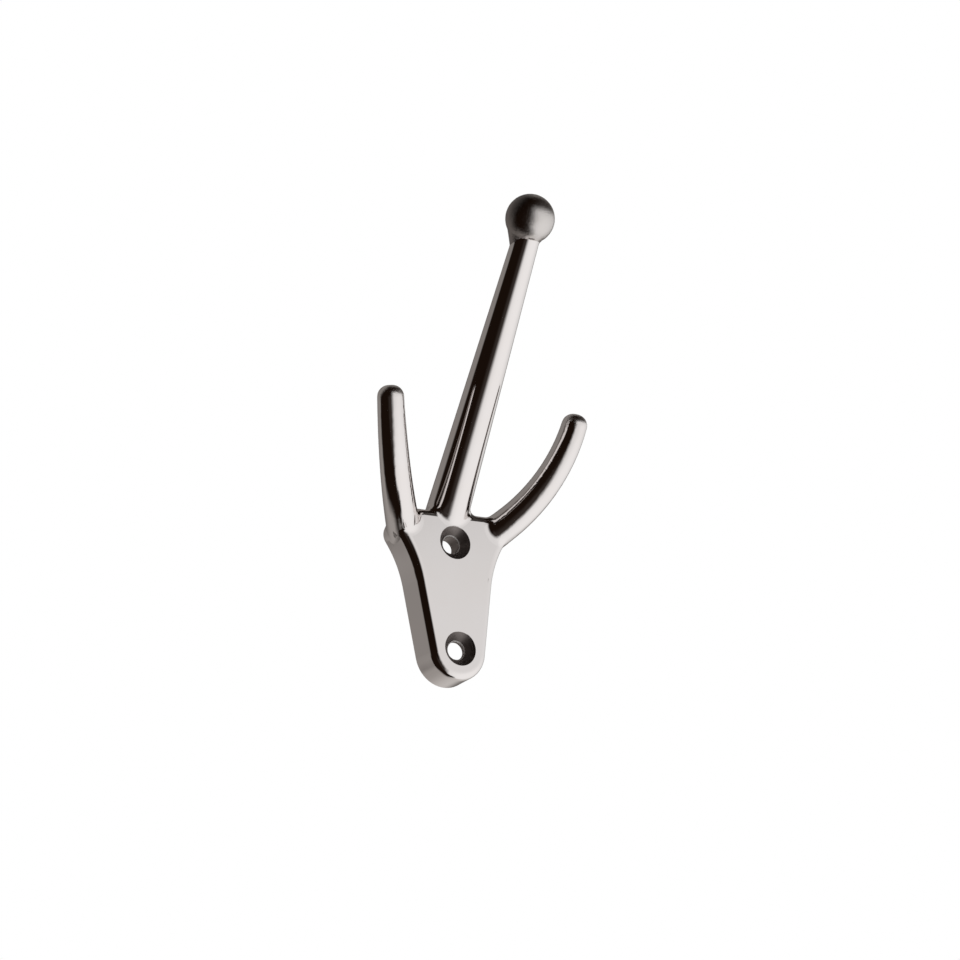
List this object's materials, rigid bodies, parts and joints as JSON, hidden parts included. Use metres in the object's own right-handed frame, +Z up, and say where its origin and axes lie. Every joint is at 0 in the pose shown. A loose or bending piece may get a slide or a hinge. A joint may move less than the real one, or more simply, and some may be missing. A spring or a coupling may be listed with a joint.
{
  "type": "triple coat hook",
  "caption": "Wall coat hook cast in one piece: a tongue-shaped plate with countersunk screw holes, a long ball-ended stem and a short curved arm on each side.",
  "frame": {"origin": "on the flat wall face, midway between the screw holes", "axes": "+X to the right seen from the room, +Y into the wall, +Z up along the wall"},
  "size_m": [0.0586, 0.0578, 0.11],
  "materials": {
    "polished_nickel": "polished nickel plate on a zinc die casting"
  },
  "bodies": {
    "root": {"coat_hook": "polished_nickel"}
  },
  "joints": []
}
